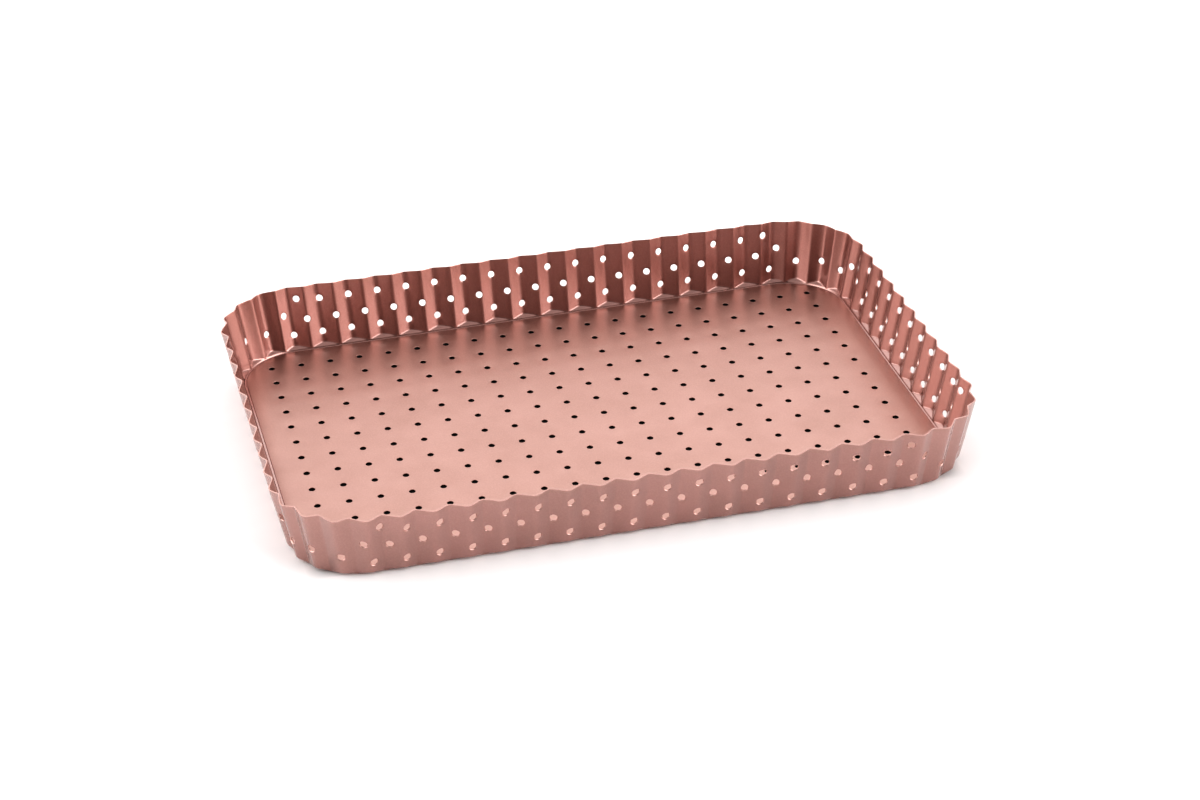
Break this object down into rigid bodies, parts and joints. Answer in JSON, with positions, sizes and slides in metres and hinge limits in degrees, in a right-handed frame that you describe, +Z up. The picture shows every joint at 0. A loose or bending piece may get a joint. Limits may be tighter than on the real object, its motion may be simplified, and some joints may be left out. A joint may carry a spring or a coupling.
{
  "type": "tart pan",
  "caption": "Rectangular tart pan with rounded corners: a fluted, flared and perforated ring with a flat perforated loose base that lifts out through the top.",
  "frame": {"origin": "centre of the pan's footprint, on the underside of the ring's ledge, where the pan rests", "axes": "+X along the long side, +Y along the short side, +Z up out of the pan"},
  "size_m": [0.3096, 0.2126, 0.0312],
  "materials": {
    "ring_coating": "satin rose-gold non-stick coating on pressed steel sheet",
    "base_coating": "satin rose-gold non-stick coating on flat steel sheet"
  },
  "bodies": {
    "ring": {"fluted_ring": "ring_coating"},
    "base": {"loose_base": "base_coating"}
  },
  "joints": [
    {"name": "base_lift", "type": "slide", "parent": "ring", "child": "base", "axis": [0, 0, 1], "range_m": [0, 0.05]}
  ]
}
